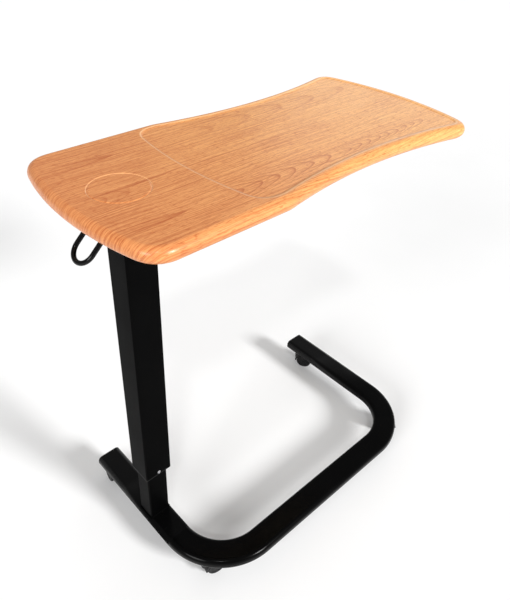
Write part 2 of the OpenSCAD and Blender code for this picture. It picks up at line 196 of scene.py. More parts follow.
class Shell:
    """A mesh put together from closed rings of points, strips between them and flat fills."""

    def __init__(self):
        self.points, self.flat, self.pale, self.faces, self.kinds = [], [], [], [], []

    def ring(self, points, flat=None, pale=0.0):
        """Adds a ring of points and returns its indices. flat is where each lies on the unrolled
        foil, and pale is the light painted into the foil there: a painted highlight above 0, a painted
        shade below 0."""
        first = len(self.points)
        self.points += [tuple(p) for p in points]
        self.pale += [pale] * len(points)
        self.flat += [tuple(f) for f in (flat or [(p[0], p[1]) for p in points])]
        return list(range(first, len(self.points)))

    def face(self, indices, kind=0):
        self.faces.append(indices)
        self.kinds.append(kind)

    def strip(self, a, b, kind=0):
        """Quads between two closed rings of as many points."""
        for i in range(len(a)):
            j = (i + 1) % len(a)
            self.face((a[i], a[j], b[j], b[i]), kind)

    def strips(self, rings, kind=0):
        for a, b in zip(rings, rings[1:]):
            self.strip(a, b, kind)

    def fill(self, outer, holes=(), kind=0, up=True):
        """Triangles over a flat area with holes. outer and holes are rings of indices."""
        loops = [outer, *holes]
        index = [i for loop in loops for i in loop]
        spots = [Vector(self.points[i][:2]) for i in index]
        edges, start = [], 0
        for loop in loops:
            n = len(loop)
            edges += [(start + k, start + (k + 1) % n) for k in range(n)]
            start += n
        borders = [[Vector(self.points[i][:2]) for i in loop] for loop in loops]
        result = delaunay_2d_cdt(spots, edges, [], 1, 1e-9)
        for triangle in result[2]:
            corners = [result[0][k] for k in triangle]
            middle = sum(corners, Vector((0, 0))) / 3
            if not inside(middle, borders[0]) or any(inside(middle, b) for b in borders[1:]):
                continue
            wanted = [index[result[3][k][0]] for k in triangle]
            a, b, c = corners
            turn = (b - a).cross(c - a)
            if (turn > 0) != up:
                wanted.reverse()
            self.face(wanted, kind)

    def build(self, name, materials, uv=None):
        mesh = bpy.data.meshes.new(name)
        mesh.from_pydata(self.points, [], self.faces)
        for material in materials:
            mesh.materials.append(material)
        mesh.polygons.foreach_set("material_index", self.kinds)
        mesh.polygons.foreach_set("use_smooth", [True] * len(self.faces))
        if uv:
            layer = mesh.uv_layers.new(name=uv)
            for spot, loop in zip(layer.data, mesh.loops):
                spot.uv = self.flat[loop.vertex_index]
            # This attribute holds the foil's painted highlight (above 0) and painted shade (below 0).
            mesh.attributes.new("pale", "FLOAT", "POINT").data.foreach_set("value", self.pale)
        mesh.validate()
        mesh.update()
        piece = bpy.data.objects.new(name, mesh)
        bpy.context.scene.collection.objects.link(piece)
        return piece


def inside(p, border):
    """Whether a point lies inside a closed border."""
    hit = False
    for a, b in zip(border, border[1:] + border[:1]):
        if (a.y > p.y) != (b.y > p.y) and p.x < (b.x - a.x) * (p.y - a.y) / (b.y - a.y) + a.x:
            hit = not hit
    return hit


def settle(piece, body, slot, *nodes):
    """Puts a finished piece on its body and lets it stand for CAD nodes, which it hides."""
    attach(piece, body)
    if nodes:
        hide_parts(*nodes)
    return piece


def swept(name, sections, closed_path, materials):
    """A tube through sections, which are rings of 3-D points; open ends get flat faces."""
    shell = Shell()
    rings = [shell.ring(s) for s in sections]
    shell.strips(rings + rings[:1] if closed_path else rings)
    if not closed_path:
        shell.face(list(reversed(rings[0])))
        shell.face(rings[-1])
    return shell.build(name, materials)


def outward(piece):
    """Turns a closed mesh's faces outwards."""
    work = bmesh.new()
    work.from_mesh(piece.data)
    bmesh.ops.recalc_face_normals(work, faces=work.faces)
    work.to_mesh(piece.data)
    work.free()
    return piece


# ---- Materials ----

class Paint:
    """A node material under construction: add() makes a node and joins its inputs."""

    def __init__(self, name):
        self.material = bpy.data.materials.new(name)
        self.material.use_nodes = True
        self.tree = self.material.node_tree
        self.shader = self.tree.nodes["Principled BSDF"]

    def add(self, kind, inputs=None, **settings):
        node = self.tree.nodes.new(kind)
        for key, value in settings.items():
            setattr(node, key, value)
        for key, value in (inputs or {}).items():
            self.set(node.inputs[key], value)
        return node

    def set(self, socket, value):
        if isinstance(value, bpy.types.NodeSocket):
            self.tree.links.new(value, socket)
        else:
            socket.default_value = value

    def finish(self, **inputs):
        """Sets the shader's inputs by name, with _ for a space, and returns the material."""
        for key, value in inputs.items():
            self.set(self.shader.inputs[key.replace("_", " ")], value)
        return self.material

    def math(self, operation, a, b=0.0, c=0.0):
        return self.add("ShaderNodeMath", {0: a, 1: b, 2: c}, operation=operation).outputs[0]

    def noise(self, place, scale, detail=3.0, roughness=0.5, stretch=(1, 1, 1)):
        """Noise whose grain is stretched: stretch is the number of grains along each axis."""
        spread = self.add("ShaderNodeMapping", {"Vector": place, "Scale": stretch}).outputs[0]
        node = self.add("ShaderNodeTexNoise", {"Vector": spread, "Scale": scale, "Detail": detail,
                                               "Roughness": roughness})
        return node.outputs[0]

    def remap(self, value, low, high, out_low=0.0, out_high=1.0, smooth=False):
        kind = "SMOOTHSTEP" if smooth else "LINEAR"
        node = self.add("ShaderNodeMapRange", {"Value": value, "From Min": low, "From Max": high,
                                               "To Min": out_low, "To Max": out_high},
                        interpolation_type=kind)
        return node.outputs[0]

    def mix(self, share, a, b):
        """Colour a at share 0, b at share 1. A colour mix keeps its colours in sockets 6, 7 and 2."""
        node = self.add("ShaderNodeMix", {0: share}, data_type="RGBA")
        self.set(node.inputs[6], a)
        self.set(node.inputs[7], b)
        return node.outputs[2]

    def bump(self, height, strength, distance):
        node = self.add("ShaderNodeBump", {"Height": height, "Strength": strength,
                                           "Distance": distance})
        return node.outputs[0]

    def object_place(self):
        return self.add("ShaderNodeTexCoord").outputs["Object"]

    def worn_edge(self):
        """1 along sharp outer edges and 0 elsewhere."""
        point = self.add("ShaderNodeNewGeometry").outputs["Pointiness"]
        return self.remap(point, 0.53, 0.6)


def rgb(r, g, b):
    """Linear colour from 0 to 255 display values."""
    def linear(v):
        v /= 255
        return v / 12.92 if v <= 0.04045 else ((v + 0.055) / 1.055) ** 2.4
    return (linear(r), linear(g), linear(b), 1)


# Figures of the foil, in metres from the column axis: the line through the arches' tips, the last
# tip, the step between arches, how fast they fall back, where they start, half width and strength
FIGURES = (
    (-0.113, 0.330, 0.0380, 150, 0.070, 0.036, 0.66),
    (-0.113, 0.592, 0.0262, 230, 0.318, 0.027, 0.66),
    (-0.113, 0.040, 0.150, 900, -0.130, 0.018, 0.62),
    (-0.016, 0.006, 0.036, 110, -0.095, 0.034, 0.42),
    (0.103, 0.058, 0.170, 600, -0.130, 0.018, 0.55),
    (0.102, 0.610, 0.088, 75, 0.190, 0.060, 0.30),
)
FIGURE_DRIFT = 0.024            # how far noise moves the arches along the grain
ARCH_CORE = 0.65                # share of an arch's darkness that lies in its narrow core
ARCH_FULL = 0.45                # share of the half width over which an arch is at full strength
SHARP_SIDE = 0.95               # where in a line's spacing its sharp side starts
FADE_IN, TIP_EDGE = 0.05, 0.001     # metres over which a figure fades in and its last tip ends

# Lines of the straight grain: metres between lines, how many lines noise moves them by, grains of
# that noise and of the noise that breaks the lines up along X and Y, and strength
GRAIN_LINES = (
    (0.0105, 4.0, (1.4, 8, 1), (5, 70, 1), 0.48),
    (0.0070, 4.5, (1.8, 11, 1), (7, 100, 1), 0.48),
    (0.0046, 5.0, (2.2, 16, 1), (9, 150, 1), 0.46),
)

# Layers of fine grain: grains of their noise along X and Y, its detail and roughness, and the
# values of the noise between which the layer fades in
FINE_GRAIN = {
    "bands": ((1.5, 26, 1), 2, 0.55, 0.34, 0.68),
    "strands": ((9, 380, 1), 2, 0.6, 0.51, 0.57),
    "fine": ((16, 860, 1), 2, 0.65, 0.46, 0.60),
    "flecks": ((75, 560, 1), 1, 0.5, 0.60, 0.65),
    "ticks": ((90, 820, 1), 1, 0.5, 0.55, 0.62),
    "pores": ((130, 2400, 1), 1, 0.5, 0.62, 0.72),
}
BAND_DARK, STRAND_DARK, FINE_DARK = 0.28, 0.34, 0.22
FLECK_DARK, TICK_DARK, PORE_DARK = 0.50, 0.26, 0.35
SWAY, WOBBLE = 0.016, 0.003     # how far slow and quick noise bend the fine grain, in metres
TONE_FROM, TONE_TO = -0.12, 0.52    # where along X the foil is darkest and lightest: partly the foil's own tone, partly a painted sheen
RIM_PAINTED_HIGHLIGHT, RIM_PAINTED_SHADE = 0.60, 0.06     # how much the painted highlight lightens and the painted shade darkens the foil at most

WOOD_DARK, WOOD_LIGHT = rgb(233, 156, 97), rgb(255, 194, 118)
WOOD_STREAK_L, WOOD_STREAK_R = rgb(214, 132, 75), rgb(238, 164, 97)
# The grain lines' colour is also the painted shade's colour, and the last colour is the painted
# highlight's.
WOOD_LINE_AND_PAINTED_SHADE, WOOD_PORE = rgb(176, 84, 36), rgb(128, 66, 34)
WOOD_PAINTED_HIGHLIGHT = rgb(252, 208, 156)


def arches(p, x, y, drift, axis_y, tip_x, step, spread, start_x, half_width, strength):
    """Pointed arches one behind the other along X, dark at their tips and fading behind them."""
    off = p.math("ADD", y, -axis_y)
    reach = p.math("MULTIPLY_ADD", p.math("MULTIPLY", off, off), spread, p.math("ADD", x, drift))
    saw = p.math("FRACT", p.math("DIVIDE", p.math("SUBTRACT", reach, tip_x), step))
    arch = p.math("MULTIPLY_ADD", p.remap(saw, 0.72, 0.93, smooth=True), ARCH_CORE,
                  p.math("MULTIPLY", p.remap(saw, 0.25, 0.9), 1 - ARCH_CORE))
    arch = p.math("MULTIPLY", arch, p.remap(saw, 1.0, SHARP_SIDE))
    inner = half_width * ARCH_FULL
    across = p.remap(p.math("ABSOLUTE", off), inner, half_width, 1, 0, smooth=True)
    along = p.math("MULTIPLY", p.remap(x, start_x, start_x + FADE_IN, smooth=True),
                   p.remap(reach, tip_x + TIP_EDGE, tip_x - TIP_EDGE))
    return p.math("MULTIPLY", p.math("MULTIPLY", arch, strength), p.math("MULTIPLY", across, along))


def grain_lines(p, place, y, spacing, wander, reach, breaks, strength):
    """Thin dark lines along X, sharp on one side, that wander and fade in and out."""
    shift = p.math("MULTIPLY", p.noise(place, 1.0, 2, 0.5, reach), wander)
    saw = p.math("FRACT", p.math("ADD", p.math("DIVIDE", y, spacing), shift))
    thread = p.math("MULTIPLY", p.remap(saw, 0.50, 0.92, smooth=True), p.remap(saw, 1.0, SHARP_SIDE))
    fade = p.remap(p.noise(place, 1.0, 1, 0.5, breaks), 0.40, 0.62)
    return p.math("MULTIPLY", p.math("MULTIPLY", thread, fade), strength)


def wood_foil():
    """Honey wood foil: straight grain along X in several widths, pores, and pointed figures."""
    p = Paint("wood_foil")
    place = p.add("ShaderNodeUVMap", uv_map="foil").outputs[0]
    split = p.add("ShaderNodeSeparateXYZ", {"Vector": place})
    x, y = split.outputs[0], split.outputs[1]

    sway = p.math("SUBTRACT", p.noise(place, 1.0, 2, 0.5, (3.5, 9, 1)), 0.5)
    wobble = p.math("SUBTRACT", p.noise(place, 1.0, 2, 0.5, (24, 60, 1)), 0.5)
    y = p.math("MULTIPLY_ADD", sway, SWAY, y)
    y = p.math("MULTIPLY_ADD", wobble, WOBBLE, y)
    bent = p.add("ShaderNodeCombineXYZ", {0: x, 1: y}).outputs[0]
    drift = p.math("MULTIPLY", p.noise(place, 1.0, 3, 0.6, (16, 30, 1)), FIGURE_DRIFT)
    figure = 0.0
    for row in FIGURES:
        figure = p.math("MAXIMUM", figure, arches(p, x, y, drift, *row))

    layer = {}
    for name, (grains, detail, roughness, low, high) in FINE_GRAIN.items():
        layer[name] = p.remap(p.noise(bent, 1.0, detail, roughness, grains), low, high)
    patches = p.remap(p.noise(place, 1.0, 3, 0.5, (5, 14, 1)), 0.35, 0.7, 0.35, 1.0)

    # Lighter towards +X: partly the foil's own tone, partly a painted sheen.
    ends = p.remap(x, TONE_FROM, TONE_TO)
    tone = p.mix(ends, WOOD_DARK, WOOD_LIGHT)
    streak = p.mix(ends, WOOD_STREAK_L, WOOD_STREAK_R)
    tone = p.mix(p.math("MULTIPLY", layer["bands"], BAND_DARK), tone, streak)
    plain = p.remap(ends, 0.3, 1.0, 1.0, 0.6)
    for row in GRAIN_LINES:
        tone = p.mix(p.math("MULTIPLY", grain_lines(p, place, y, *row), plain), tone, WOOD_LINE_AND_PAINTED_SHADE)
    strands = p.math("MULTIPLY", layer["strands"], STRAND_DARK)
    tone = p.mix(p.math("MULTIPLY", strands, patches), tone, WOOD_LINE_AND_PAINTED_SHADE)
    tone = p.mix(p.math("MULTIPLY", layer["fine"], FINE_DARK), tone, WOOD_LINE_AND_PAINTED_SHADE)
    tone = p.mix(figure, tone, WOOD_LINE_AND_PAINTED_SHADE)
    tone = p.mix(p.math("MULTIPLY", layer["flecks"], FLECK_DARK), tone, WOOD_LINE_AND_PAINTED_SHADE)
    tone = p.mix(p.math("MULTIPLY", layer["ticks"], TICK_DARK), tone, WOOD_LINE_AND_PAINTED_SHADE)
    tone = p.mix(p.math("MULTIPLY", layer["pores"], PORE_DARK), tone, WOOD_PORE)
    # Painted highlight and painted shade along the tray's wall and the cup ring, read from the mesh
    # attribute.
    pale = p.add("ShaderNodeAttribute", attribute_name="pale").outputs["Fac"]
    tone = p.mix(p.remap(pale, 0, 1, 0, RIM_PAINTED_HIGHLIGHT), tone, WOOD_PAINTED_HIGHLIGHT)
    tone = p.mix(p.remap(pale, 0, -1, 0, RIM_PAINTED_SHADE), tone, WOOD_LINE_AND_PAINTED_SHADE)

    sunk = p.math("MULTIPLY", layer["strands"], -0.5)
    relief = p.math("MULTIPLY_ADD", layer["pores"], -1.0, sunk)
    gloss = p.remap(p.noise(place, 1.0, 3, 0.6, (40, 60, 1)), 0.3, 0.7, 0.30, 0.38)
    gloss = p.math("MULTIPLY_ADD", layer["pores"], 0.10, gloss)
    grain = p.bump(relief, 0.14, 0.0003)
    return p.finish(Base_Color=tone, Roughness=gloss, Normal=grain, Specular_IOR_Level=0.22,
                    Coat_Weight=0.30, Coat_Roughness=0.22, Coat_Normal=grain)


def board_back():
    """Pale melamine on the underside of the board, faintly mottled."""
    p = Paint("board_back")
    place = p.object_place()
    cloud = p.noise(place, 9.0, 4)
    grit = p.noise(place, 900.0, 2)
    tone = p.mix(p.remap(cloud, 0.3, 0.7), rgb(196, 178, 152), rgb(210, 194, 170))
    return p.finish(Base_Color=tone, Roughness=p.remap(grit, 0.3, 0.7, 0.5, 0.62),
                    Normal=p.bump(grit, 0.15, 0.0002))


def black_paint(name, tone, roughness, peel, ior, edge=0.35):
    """Sprayed black paint: orange peel, fine speckle, faint clouding and edges rubbed paler."""
    p = Paint(name)
    place = p.object_place()
    cloud = p.noise(place, 14.0, 4)
    speckle = p.noise(place, 1800.0, 2, 0.6)
    skin = p.noise(place, 420.0, 2, 0.5)
    ground = p.mix(p.remap(cloud, 0.3, 0.7), (tone * 0.8, tone * 0.8, tone * 0.83, 1),
                   (tone * 1.2, tone * 1.2, tone * 1.24, 1))
    pale = (tone * 3.5, tone * 3.5, tone * 3.6, 1)
    ground = p.mix(p.math("MULTIPLY", p.worn_edge(), edge), ground, pale)
    ground = p.mix(p.remap(speckle, 0.66, 0.74, 0, 0.35), ground, pale)
    gloss = p.remap(cloud, 0.25, 0.75, roughness - 0.03, roughness + 0.04)
    gloss = p.math("ADD", gloss, p.remap(speckle, 0.6, 0.7, 0, 0.05))
    height = p.math("ADD", skin, p.math("MULTIPLY", speckle, 0.4))
    return p.finish(Base_Color=ground, Roughness=gloss, Normal=p.bump(height, peel, 0.0002), IOR=ior)


def black_plastic(name, tone, roughness, grain):
    """Moulded black plastic with a fine spark-eroded grain and scuffed edges."""
    p = Paint(name)
    place = p.object_place()
    texture = p.add("ShaderNodeTexVoronoi", {"Vector": place, "Scale": 1500.0}).outputs["Distance"]
    cloud = p.noise(place, 30.0, 3)
    ground = p.mix(p.remap(cloud, 0.3, 0.7), (tone, tone, tone * 1.03, 1),
                   (tone * 1.5, tone * 1.5, tone * 1.55, 1))
    scuff = (tone * 4, tone * 4, tone * 4.1, 1)
    ground = p.mix(p.math("MULTIPLY", p.worn_edge(), 0.5), ground, scuff)
    gloss = p.remap(cloud, 0.3, 0.7, roughness - 0.05, roughness + 0.05)
    return p.finish(Base_Color=ground, Roughness=gloss, Normal=p.bump(texture, grain, 0.0002),
                    Specular_IOR_Level=0.2)


def plated_steel(name, low, high, roughness):
    """Plated steel: cloudy brightness, fine turning lines and small dark specks."""
    p = Paint(name)
    place = p.object_place()
    cloud = p.noise(place, 120.0, 4)
    turned = p.noise(place, 1.0, 2, 0.6, (90, 90, 4200))
    specks = p.remap(p.noise(place, 1500.0, 2), 0.68, 0.76)
    tone = p.mix(p.remap(cloud, 0.3, 0.7), (low, low, low * 1.02, 1), (high, high, high * 1.02, 1))
    tone = p.mix(p.math("MULTIPLY", specks, 0.5), tone, (0.12, 0.11, 0.10, 1))
    gloss = p.remap(turned, 0.3, 0.7, roughness - 0.06, roughness + 0.08)
    return p.finish(Base_Color=tone, Metallic=1.0, Roughness=gloss, Normal=p.bump(turned, 0.08, 0.0001))


# ---- The tabletop ----

BULLNOSE_STEPS, COVE_STEPS, RING_STEPS, RING_POINTS = 20, 8, 8, 144


def on_table(points, z):
    """Points measured from the column axis, as points in space at a height."""
    return [Vector((p.x + column.x, p.y + column.y, z)) for p in points]


def circle(centre, radius, count):
    """Closed ring of points, clockwise seen from above."""
    return [on_circle(centre, radius, -2 * math.pi * i / count) for i in range(count)]


def bullnose(shell):
    """The rounded edge, from the flat underside to a narrow flat ring on the top."""
    crest = math.acos(1 - CREST_IN / edge_r)
    rings = []
    for k in range(BULLNOSE_STEPS + 1):
        angle = -math.pi / 2 + (crest + math.pi / 2) * k / BULLNOSE_STEPS
        z = top_z if k == BULLNOSE_STEPS else mid_z + edge_r * math.sin(angle)
        unrolled = outline(CREST_IN - edge_r * (crest - angle))
        rings.append(shell.ring(on_table(outline(edge_r * (1 - math.cos(angle))), z), unrolled))
    flat = outline(CREST_IN + FLAT_STEP)
    rings.append(shell.ring(on_table(flat, top_z), flat))
    shell.strips(rings)
    return rings[0], rings[-1]


def tray_wall(shell):
    """The tray's sloping wall, with a narrow flat ring above it and one on the tray's floor."""
    edge = tray_outline()
    rings = []
    for k in range(-1, COVE_STEPS + 2):
        share = min(max(k / COVE_STEPS, 0), 1)
        step = FLAT_STEP * ((k > COVE_STEPS) - (k < 0))
        line_here = shifted(edge, TRAY_COVE * share + step, SIDE_COVE * share + step)
        z = top_z - TRAY_DEPTH * (1 - math.cos(math.pi * share)) / 2
        # Painted highlight on the wall's upper half and painted shade at its foot.
        rings.append(shell.ring(on_table(line_here, z), line_here, math.sin(2 * math.pi * share)))
    shell.strips(rings)
    return rings[0], rings[-1]


def cup_ring(shell):
    """The round groove that marks a place for a cup, with a narrow flat ring at either side."""
    rings = []
    for k in range(-1, RING_STEPS + 2):
        share = min(max(k / RING_STEPS, 0), 1)
        offset = RING_W * (0.5 - share) + FLAT_STEP * ((k < 0) - (k > RING_STEPS))
        line_here = circle((RING_X, 0), RING_R + offset, RING_POINTS)
        z = top_z - RING_DEPTH * (1 - math.cos(2 * math.pi * share)) / 2
        # Painted highlight on the groove's outer slope, painted shade on its inner slope.
        pale = RING_PAINTED_LIGHT * math.sin(2 * math.pi * share)
        rings.append(shell.ring(on_table(line_here, z), line_here, pale))
    shell.strips(rings)
    return rings[0], rings[-1]


def tabletop():
    """The foil-wrapped board: rounded edge, tray, cup ring and flats as one closed mesh."""
    shell = Shell()
    underside, crest = bullnose(shell)
    tray_top, tray_floor = tray_wall(shell)
    ring_out, ring_in = cup_ring(shell)
    shell.fill(crest, (tray_top, ring_out))
    shell.fill(ring_in)
    shell.fill(tray_floor)
    shell.fill(underside, kind=1, up=False)
    board = outward(shell.build("tabletop_board", (wood_foil(), board_back()), uv="foil"))
    settle(board, "tabletop_lift", "tabletop_wood", "tabletop")


# ---- Pieces made from the CAD solids ----

record_bodies = frame["record"]["behaviour"]["bodies"]
bodies = {node: body for body, nodes in record_bodies.items() for node in nodes}
BEVEL_ANGLE = math.radians(28)      # edges sharper than this are rounded
FLAT_ANGLE = math.radians(0.6)      # faces that meet flatter than this are merged


def refined(node, material, slot, bevel, segments=2):
    """A copy of a CAD node with merged faces, rounded edges and smooth shading, which stands for it."""
    source = frame["nodes"][node]
    work = bmesh.new()
    work.from_mesh(source.data)
    work.transform(source.matrix_world)
    bmesh.ops.remove_doubles(work, verts=work.verts, dist=1e-6)
    bmesh.ops.dissolve_limit(work, angle_limit=FLAT_ANGLE, verts=work.verts, edges=work.edges)
    for face in work.faces:
        face.smooth = True
    mesh = bpy.data.meshes.new(node + "_finished")
    work.to_mesh(mesh)
    work.free()
    mesh.materials.append(material)
    piece = bpy.data.objects.new(node + "_finished", mesh)
    bpy.context.scene.collection.objects.link(piece)
    edge = piece.modifiers.new("rounded_edges", "BEVEL")
    edge.width, edge.segments = bevel, segments
    edge.limit_method, edge.angle_limit = "ANGLE", BEVEL_ANGLE
    even = piece.modifiers.new("even_shading", "WEIGHTED_NORMAL")
    even.mode, even.weight = "FACE_AREA", 50
    return settle(piece, bodies[node], slot, node)


# ---- The base tube ----

BASE_WALL, BASE_CORNER_R, BASE_BEND_R = 0.0016, 0.0105, 0.120
BASE_BEND_STEPS, BASE_CORNER_STEPS = 48, 14


def rounded_section(width, height, radius, corner_steps):
    """Points of a rounded rectangle around the origin, anticlockwise."""
    points = []
    for k, (sx, sy) in enumerate(((1, 1), (-1, 1), (-1, -1), (1, -1))):
        centre = (sx * (width / 2 - radius), sy * (height / 2 - radius))
        start = k * math.pi / 2
        points.append(on_circle(centre, radius, start))
        points += arc(centre, radius, start, start + math.pi / 2, corner_steps)
    return points


def base_tube(paint):
    """The bent tube as a closed skin: the outside from end to end, and the inside back again."""
    low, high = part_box("base_tube")
    cap_low, cap_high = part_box("end_cap_left")
    width, height = cap_high.x - cap_low.x, high.z - low.z
    left_x, right_x = low.x + width / 2, high.x - width / 2
    spine_y, mid = low.y + width / 2, (low.z + high.z) / 2
    bend_y = spine_y + BASE_BEND_R
    stations = [(Vector((left_x, high.y)), -math.pi / 2), (Vector((left_x, bend_y)), -math.pi / 2)]
    for centre_x, start in ((left_x + BASE_BEND_R, math.pi), (right_x - BASE_BEND_R, 1.5 * math.pi)):
        for k in range(BASE_BEND_STEPS + 1):
            angle = start + math.pi / 2 * k / BASE_BEND_STEPS
            stations.append((on_circle((centre_x, bend_y), BASE_BEND_R, angle), angle + math.pi / 2))
    stations.append((Vector((right_x, high.y)), math.pi / 2))
    outer = rounded_section(width, height, BASE_CORNER_R, BASE_CORNER_STEPS)
    inner = rounded_section(width - 2 * BASE_WALL, height - 2 * BASE_WALL,
                            BASE_CORNER_R - BASE_WALL, BASE_CORNER_STEPS)

    def ring(station, section):
        place, heading = station
        side = Vector((math.sin(heading), -math.cos(heading)))
        return [Vector((*(place + side * p.x), mid + p.y)) for p in section]

    sections = [ring(s, outer) for s in stations] + [ring(s, inner) for s in reversed(stations)]
    tube = outward(swept("base_tube_bent", sections, True, [paint]))
    settle(tube, "base", "base_paint", "base_tube")


# ---- Weld, wire loop and screws ----

COLUMN_CORNER_R = 0.003
BEAD_R, BEAD_SUNK, BEAD_OUT, BEAD_POINTS = 0.0024, 0.0002, 0.0004, 12
BEAD_STEPS = 40                 # places along each straight side of the bead's path
BEAD_GAP = 0.002                # parts of the path longer than this are straight sides
# Two ripples of the bead: how much each changes its radius, and places for each turn of the wave
BEAD_RIPPLES = ((0.10, 3.1), (0.06, 2 * math.pi / 0.7))
LOOP_LEN, LOOP_HALF_W, LOOP_SLOPE = 0.0670, 0.0218, math.radians(45)
LOOP_START = 0.0050             # where the wire ends, inside the barrel's wall and clear of the pin
LEG_STEPS, LOOP_STEPS, WIRE_POINTS = 12, 40, 24
SCREW_OFFSETS = (-0.115, -0.060, 0.060, 0.115)
GLIDE_SHANK, TABLETOP_SHANK = 0.004, 0.016

# A screw head in shares of its height: its rim and its recess
HEAD_RIM, RECESS_DEPTH = 0.45, 0.42
HEAD_ROUND = 2.4                # power of the dome's curve, where 2 is an ellipse
# A screw in shares of its head's radius: the recess, its sloping walls and the shank
RECESS_HALF_W, RECESS_REACH = 0.17, 0.58
RECESS_SIDE_WALL, RECESS_END_WALL = 0.05, 0.10
SHANK_R = 0.45
HEAD_POINTS, HEAD_RINGS, HEAD_LAST_RINGS = 96, 22, (0.975, 0.99, 1.0)


def ring_around(place, across, up, radius, count):
    """Circle of points around a place, in the plane of two directions."""
    spots = [on_circle((0, 0), radius, 2 * math.pi * i / count) for i in range(count)]
    return [place + across * s.x + up * s.y for s in spots]


def weld_bead(paint):
    """A rippled bead where the lower column stands on the curved top of the base tube."""
    low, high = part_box("lower_column")
    tube_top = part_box("base_tube")[1].z
    flat_half = (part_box("end_cap_left")[1].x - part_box("end_cap_left")[0].x) / 2 - BASE_CORNER_R
    path = rounded_section(high.x - low.x, high.y - low.y, COLUMN_CORNER_R, 8)
    dense = [a.lerp(b, i / BEAD_STEPS) for a, b in zip(path, path[1:] + path[:1])
             for i in range(BEAD_STEPS) if (a - b).length > BEAD_GAP or i % (BEAD_STEPS // 2) == 0]
    sections = []
    for i, p in enumerate(dense):
        along = (dense[(i + 1) % len(dense)] - dense[i - 1]).normalized()
        over = max(abs(p.x) - flat_half, 0)
        drop = BASE_CORNER_R - math.sqrt(BASE_CORNER_R ** 2 - over ** 2)
        ripple = 1 + sum(height * math.sin(2 * math.pi * i / wave) for height, wave in BEAD_RIPPLES)
        place = Vector((column.x + p.x, column.y + p.y, tube_top - drop - BEAD_SUNK))
        out = Vector((along.y, -along.x, 0))
        sections.append(ring_around(place + out * BEAD_OUT, out, Vector((0, 0, 1)), BEAD_R * ripple,
                                    BEAD_POINTS))
    bead = outward(swept("weld_bead_rippled", sections, True, [paint]))
    settle(bead, "base", "base_paint", "weld_bead")


def release_loop(paint):
    """The wire loop under the left end of the tabletop, one bent wire from barrel to barrel."""
    low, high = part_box("release_loop")
    barrel_low, barrel_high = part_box("lever_barrel")
    pivot = (barrel_low + barrel_high) / 2
    wire_r = (high.y - low.y) / 2 - LOOP_HALF_W
    reach = Vector((-math.cos(LOOP_SLOPE), 0, -math.sin(LOOP_SLOPE)))
    side = Vector((0, 1, 0))
    leg = LOOP_LEN - LOOP_HALF_W
    shares = [k / LEG_STEPS for k in range(LEG_STEPS + 1)]
    flat_path = [(LOOP_START + (leg - LOOP_START) * share, LOOP_HALF_W) for share in shares]
    for k in range(1, LOOP_STEPS + 1):
        angle = math.pi / 2 - math.pi * k / LOOP_STEPS
        flat_path.append((leg + LOOP_HALF_W * math.cos(angle), LOOP_HALF_W * math.sin(angle)))
    flat_path += [(s, -y) for s, y in reversed(flat_path[:LEG_STEPS])]
    spots = [pivot + reach * s + side * y for s, y in flat_path]
    normal = reach.cross(side).normalized()
    sections = []
    for i, spot in enumerate(spots):
        along = (spots[min(i + 1, len(spots) - 1)] - spots[max(i - 1, 0)]).normalized()
        sections.append(ring_around(spot, along.cross(normal), normal, wire_r, WIRE_POINTS))
    wire = outward(swept("release_loop_wire", sections, False, [paint]))
    settle(wire, "release_lever", "loop_coating", "release_loop")


def add_screw(shell, place, axis, radius, height, shank):
    """A domed screw head with a cross recess, and its hidden shank, pointing along an axis."""
    across = axis.orthogonal().normalized()
    up = axis.cross(across)
    rings = []

    def level(share, angle):
        """Height of the head's surface over its seat at a share of its radius."""
        dome = height * (HEAD_RIM + (1 - HEAD_RIM) * math.sqrt(max(1 - share ** HEAD_ROUND, 0)))
        x, y = abs(share * math.cos(angle)), abs(share * math.sin(angle))
        off, far = min(x, y), max(x, y)
        beside = min(max((RECESS_HALF_W - off) / RECESS_SIDE_WALL, 0), 1)
        before = min(max((RECESS_REACH - far) / RECESS_END_WALL, 0), 1)
        return dome - RECESS_DEPTH * height * beside * before

    for share in [k / HEAD_RINGS for k in range(1, HEAD_RINGS)] + list(HEAD_LAST_RINGS):
        points = []
        for i in range(HEAD_POINTS):
            angle = 2 * math.pi * i / HEAD_POINTS
            spot = on_circle((0, 0), share * radius, angle)
            points.append(place + across * spot.x + up * spot.y + axis * level(share, angle))
        rings.append(shell.ring(points))
    for r, depth in ((radius, 0), (radius * SHANK_R, 0), (radius * SHANK_R, -shank)):
        rings.append(shell.ring(ring_around(place + axis * depth, across, up, r, HEAD_POINTS)))
    shell.strips(rings)
    centre = shell.ring([place + axis * level(0, 0)])[0]
    for i in range(HEAD_POINTS):
        shell.face((centre, rings[0][i], rings[0][(i + 1) % HEAD_POINTS]))
    shell.face(rings[-1])


def screws(name, node, places, axes, radius, height, shank, metal):
    """Screws in one mesh, each at its place and along its axis, for one CAD node."""
    shell = Shell()
    for place, axis in zip(places, axes):
        add_screw(shell, place, axis, radius, height, shank)
    settle(outward(shell.build(name, [metal])), bodies[node], "zinc_steel", node)


